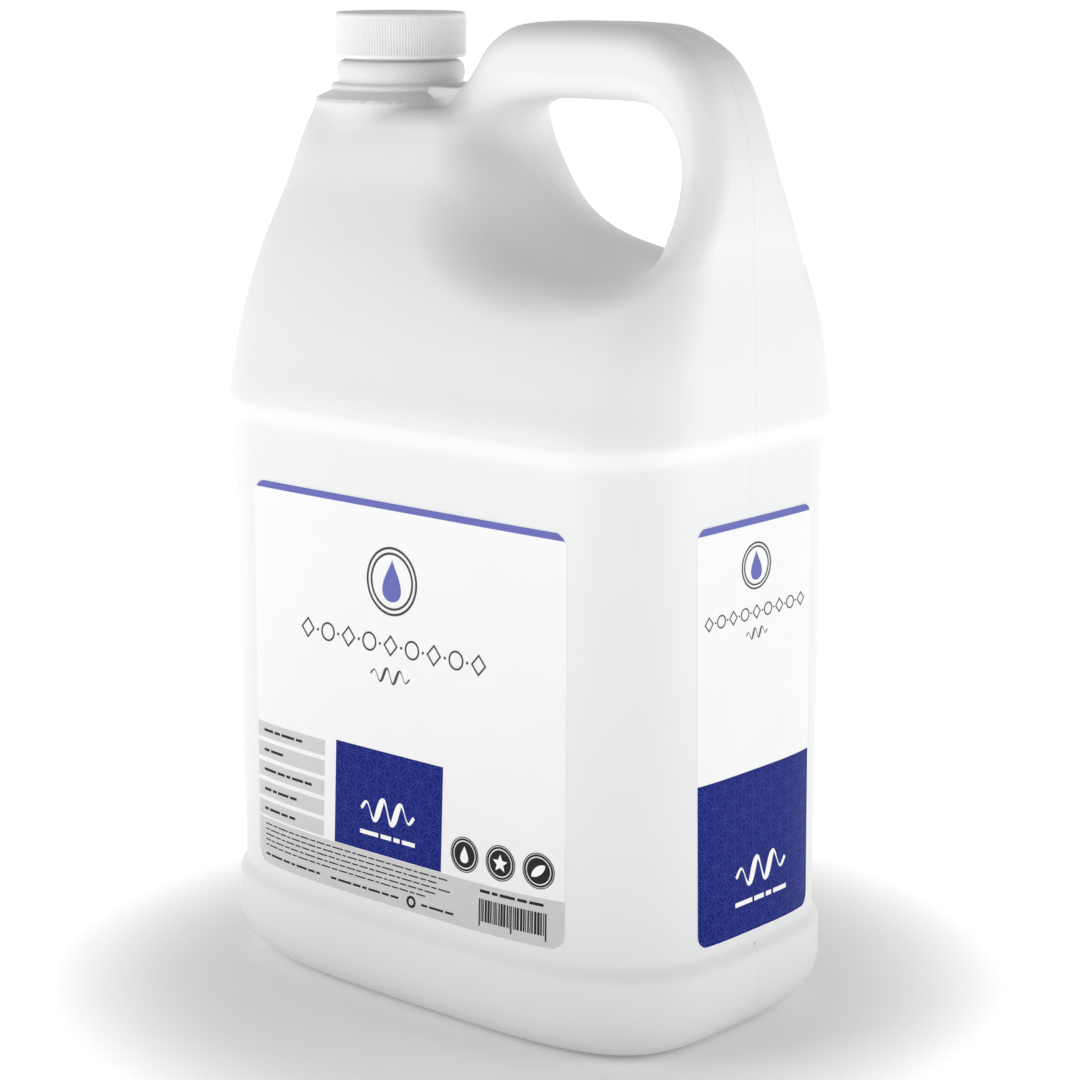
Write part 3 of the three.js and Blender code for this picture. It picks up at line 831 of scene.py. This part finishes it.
def star(x, z, size, points=5):
    """Outline of a star."""
    angle = math.pi / 2 + np.arange(points * 2) * math.pi / points
    reach = np.where(np.arange(points * 2) % 2, 0.45, 1.0) * size
    return np.stack([x + reach * np.cos(angle), z + reach * np.sin(angle)], -1)


def diamond(x, z, wide, high):
    """Outline of a diamond."""
    return [(x + wide, z), (x, z + high), (x - wide, z), (x, z - high)]


def brush(ink, x, z, wide, high, weight):
    """A brushed wave, heavier on its rises."""
    t = np.linspace(0, 1, 72)
    wave = z + high * (0.42 * np.sin(t * 6 * math.pi) * np.sin(t * math.pi) ** 0.4 + 0.12 * (t - 0.5))
    width = weight * (0.75 + 0.5 * np.cos(t * 6 * math.pi)) * (0.45 + 0.55 * np.sin(t * math.pi))
    ink.stroke(np.stack([x + wide * (t - 0.5), wave], -1), width)


def dashes(ink, left, right, z, width, start=0):
    """A broken level line, its dashes as long as printed words would be."""
    x, index = left, start
    while x < right - 1.2:
        long = min((4.2, 2.4, 5.6, 3.2, 1.8, 4.8, 2.9)[index % 7] * (0.6 + width * 0.6), right - x)
        ink.rule(x, x + long, z, width)
        x += long + 0.5 + 0.4 * width
        index += 1


def motif(slate, colour, x, z, size):
    """Two rings with a drop in them."""
    slate.shape(circle(x, z, size), 0.93)
    slate.shape(circle(x, z, size * 0.84), 0.92)
    colour.shape(drop(x, z + size * 0.02, size * 0.62))


def frieze(slate, x, z, half, high):
    """A row of rings and diamonds in outline, with a small brushed wave under it."""
    count = 9
    for index in range(count):
        at = x + half * (2 * index / (count - 1) - 1) * 0.92
        if index % 2:
            slate.shape(circle(at, z, high * 0.46), 0.80)
        else:
            slate.shape(diamond(at, z, high * 0.46, high * 0.52), 0.76)
        if index < count - 1:
            slate.shape(circle(at + half * 0.23 / 2, z, high * 0.07, 12))
    brush(slate, x, z - high * 1.45, half * 0.42, high * 0.85, high * 0.13)


def make_label(label, size, node_name):
    """The white sheet and its coloured top band."""
    sheet = Print(label, 0)
    sheet.grid(rounded_rows(size, size["bottom"], size["top"]), low=SHEET[0], high=SHEET[1])
    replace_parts(sheet.make(f"{label}_sheet", LABEL_PAINT), node_name)
    band = Print(label, 1)
    band.grid(rounded_rows(size, size["top"] - 2.3, size["top"] - 0.15, inset=0.15))
    return band


def make_front_label():
    """The wide label: motif, frieze, tonal block, grey bars and a grey foot."""
    band = make_label("front", FRONT, "front_label")
    slate, dark, white = Print("front", 2), Print("front", 2), Print("front", 3)
    deep, grey = Print("front", 1), Print("front", 1)
    motif(slate, band, -4.3, 133.8, 10.4)
    frieze(slate, -4.3, 114.3, 38.5, 6.4)
    deep.box(-26.6, 18.1, 49.4, 81.4)
    brush(white, -4.2, 63.0, 22.0, 8.6, 1.9)
    dashes(white, -15.6, 7.4, 55.2, 1.3, 2)
    for row, length in enumerate((19, 10, 25, 18, 16)):
        top = 80.2 - 6.35 * row
        grey.box(FRONT["left"] + 0.2, -31.6, top - 4.9, top)
        dashes(dark, -61.0, -61.0 + length, top - 2.5, 0.85, row)
    grey.grid(rounded_rows(FRONT, FRONT["bottom"] + 0.15, 49.2, inset=0.15))
    for row, right in enumerate((22.0, 18.0, 23.0, 16.0, 12.0)):
        dashes(dark, -60.5, right, 47.4 - 1.7 * row, 0.42, row)
    for left, right in ((-60.5, -33.0), (-28.0, 1.0), (10.5, 24.0)):
        dashes(dark, left, right, 37.6, 0.7, 1)
    dark.shape(circle(6.3, 37.6, 1.9, 24), 0.55)
    badges(dark, white)
    barcode(dark, 33.3, 36.4, 44.8)
    dashes(dark, 33.6, 57.6, 47.2, 0.9, 3)
    inks = ((band, "band", BAND_INK), (slate, "slate", SLATE_INK), (dark, "dark", DARK_INK),
            (deep, "block", FRONT_BLUE), (grey, "grey", GREY_INK), (white, "white", WHITE_INK))
    for ink, name, paint in inks:
        ink.make(f"front_print_{name}", paint)


def badges(dark, white):
    """Three round seals with a drop, a star and a leaf."""
    seals = ((27.3, 56.7, drop(27.3, 56.8, 2.6)), (40.9, 56.9, star(40.9, 56.8, 2.8)),
             (54.4, 57.2, leaf(54.4, 57.2, 3.0, 0.7)))
    for x, z, mark in seals:
        dark.shape(circle(x, z, 5.4), 0.95)
        dark.shape(circle(x, z, 4.9), 0.88)
        dark.shape(circle(x, z, 3.9))
        white.shape(mark)


def barcode(dark, left, bottom, top):
    """Upright bars of four widths."""
    x = left
    for bar in range(29):
        wide = (0.5, 0.28, 0.75, 0.4)[bar * bar % 7 % 4]
        dark.box(x, x + wide, bottom if bar in (0, 14, 28) else bottom + 1.6, top)
        x += wide + (0.3, 0.45, 0.25)[bar * 5 % 3]


def make_side_label():
    """The narrow label: motif, frieze and a tonal block down to its foot."""
    band = make_label("side", SIDE, "side_label")
    slate, deep, white = Print("side", 2), Print("side", 1), Print("side", 3)
    middle = (SIDE["left"] + SIDE["right"]) / 2
    motif(slate, band, middle, 143.2, 7.0)
    frieze(slate, middle, 129.5, 24.0, 4.3)
    deep.grid(rounded_rows(SIDE, SIDE["bottom"] + 0.15, 82.5, inset=0.15))
    brush(white, middle + 1.5, 52.0, 24.0, 9.2, 2.0)
    dashes(white, middle - 11.0, middle + 14.0, 43.2, 1.4, 2)
    inks = ((band, "band", BAND_INK), (slate, "slate", SLATE_INK), (deep, "block", SIDE_BLUE),
            (white, "white", WHITE_INK))
    for ink, name, paint in inks:
        ink.make(f"side_print_{name}", paint)


# ---- studio ------------------------------------------------------------------------------------------
def make_floor():
    """A plain pale floor that emits light: dim near the jug as a painted contact shadow round its base, and
    bright white away from it as painted light.
    """
    paint = finish("floor_white_painted_shadow", (0.90, 0.90, 0.90), (0.93, 0.93, 0.93), (0.6, 0.7), 6.0, 0.00002,
                   **{"Emission Color": (1.0, 1.0, 1.0, 1.0), "Specular IOR Level": 0.1})
    tree = paint.node_tree
    place = node(tree, "ShaderNodeTexCoord").outputs["Object"]
    away = node(tree, "ShaderNodeVectorMath", {0: place}, operation="LENGTH").outputs["Value"]
    # Emission strength rises with distance from the jug: painted shadow round its base, and painted light
    # further out that makes the floor white and lights the jug from below.
    glow_and_painted_shadow = smooth_range(tree, away, *PAINTED_SHADOW_REACH, 0.08, 0.92)
    shader = next(made for made in tree.nodes if made.type == "BSDF_PRINCIPLED")
    tree.links.new(glow_and_painted_shadow, shader.inputs["Emission Strength"])
    half = 6000.0
    points = [(-half, -half, -0.3), (half, -half, -0.3), (half, half, -0.3), (-half, half, -0.3)]
    mesh = bpy.data.meshes.new("floor")
    mesh.from_pydata([tuple(c * 0.001 for c in p) for p in points], [], [(0, 1, 2, 3)])
    mesh.materials.append(paint)
    floor = bpy.data.objects.new("floor", mesh)
    bpy.context.scene.collection.objects.link(floor)


def make_world():
    """A pale room, white behind the jug, dimmer in front of it and overhead."""
    world = bpy.data.worlds.new("studio")
    bpy.context.scene.world = world
    world.use_nodes = True
    tree = world.node_tree
    tree.nodes.clear()
    place = node(tree, "ShaderNodeTexCoord").outputs["Generated"]
    height = node(tree, "ShaderNodeSeparateXYZ", {0: place}).outputs[2]
    overhead = smooth_range(tree, height, 0.50, 0.80)
    facing = node(tree, "ShaderNodeVectorMath", {0: place, 1: (0.67, -0.74, 0.0)},
                  operation="DOT_PRODUCT").outputs["Value"]
    front = smooth_range(tree, facing, -0.1, 0.9)
    room = mixed(tree, front, (1.0, 1.0, 1.0), (0.62, 0.62, 0.625))
    colour = mixed(tree, overhead, room, (0.04, 0.04, 0.042))
    light = node(tree, "ShaderNodeBackground", {"Color": colour, "Strength": 1.0})
    out = node(tree, "ShaderNodeOutputWorld")
    tree.links.new(light.outputs[0], out.inputs["Surface"])


def make_light(name, place, power):
    """A soft square light on the upper part of the jug."""
    data = bpy.data.lights.new(name, "AREA")
    data.shape = "SQUARE"
    data.size = LAMP_SIZE
    data.energy = power
    lamp = bpy.data.objects.new(name, data)
    bpy.context.scene.collection.objects.link(lamp)
    lamp.location = place
    away = lamp.location - Vector(LAMP_TARGET)
    lamp.rotation_euler = away.to_track_quat("Z", "Y").to_euler()


def make_camera():
    """The camera that the views start from."""
    data = bpy.data.cameras.new("camera")
    data.lens = CAMERA["lens"]
    data.sensor_width = 36.0
    data.shift_y = CAMERA["shift"]
    camera = bpy.data.objects.new("camera", data)
    bpy.context.scene.collection.objects.link(camera)
    camera.location = CAMERA["place"]
    camera.rotation_euler = (math.radians(CAMERA["tilt"]), 0.0, math.radians(CAMERA["turn"]))
    bpy.context.scene.camera = camera


make_seam(make_jug())
make_neck()
make_fill()
make_cap()
make_liner()
make_front_label()
make_side_label()
make_floor()
make_world()
make_light("key", (-0.40, -0.84, 0.52), 2.15)
make_light("side", (0.89, 0.27, 0.50), 1.7)
make_camera()
bpy.context.scene.view_settings.view_transform = "Standard"
